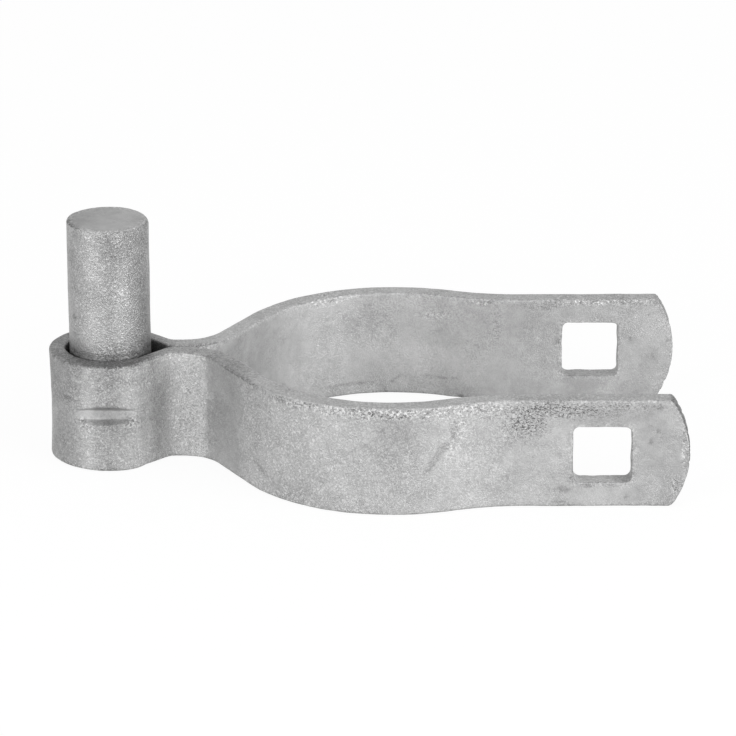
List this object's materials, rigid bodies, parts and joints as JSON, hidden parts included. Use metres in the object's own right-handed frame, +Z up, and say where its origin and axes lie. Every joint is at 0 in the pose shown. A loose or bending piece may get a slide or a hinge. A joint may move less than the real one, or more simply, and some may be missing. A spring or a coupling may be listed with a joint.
{
  "type": "fence post hinge",
  "caption": "Male post hinge: a galvanised strip folded round an upright pintle pin, shaped into a post collar, with parallel bolted legs.",
  "frame": {"origin": "middle of the bounding box at the level of the strip's lower edges, which the part rests on", "axes": "+X from the pin towards the leg ends, +Z up along the pin, Y across the collar; the stake mark is on the -Y side"},
  "size_m": [0.1224, 0.0684, 0.0474],
  "materials": {
    "galvanised_strip": "hot-dip galvanised, matt grey with fine zinc grains",
    "galvanised_pin": "hot-dip galvanised, matt grey, slightly brighter than the strip"
  },
  "bodies": {
    "root": {"hinge_strap": "galvanised_strip", "hinge_pin": "galvanised_pin"}
  },
  "joints": []
}
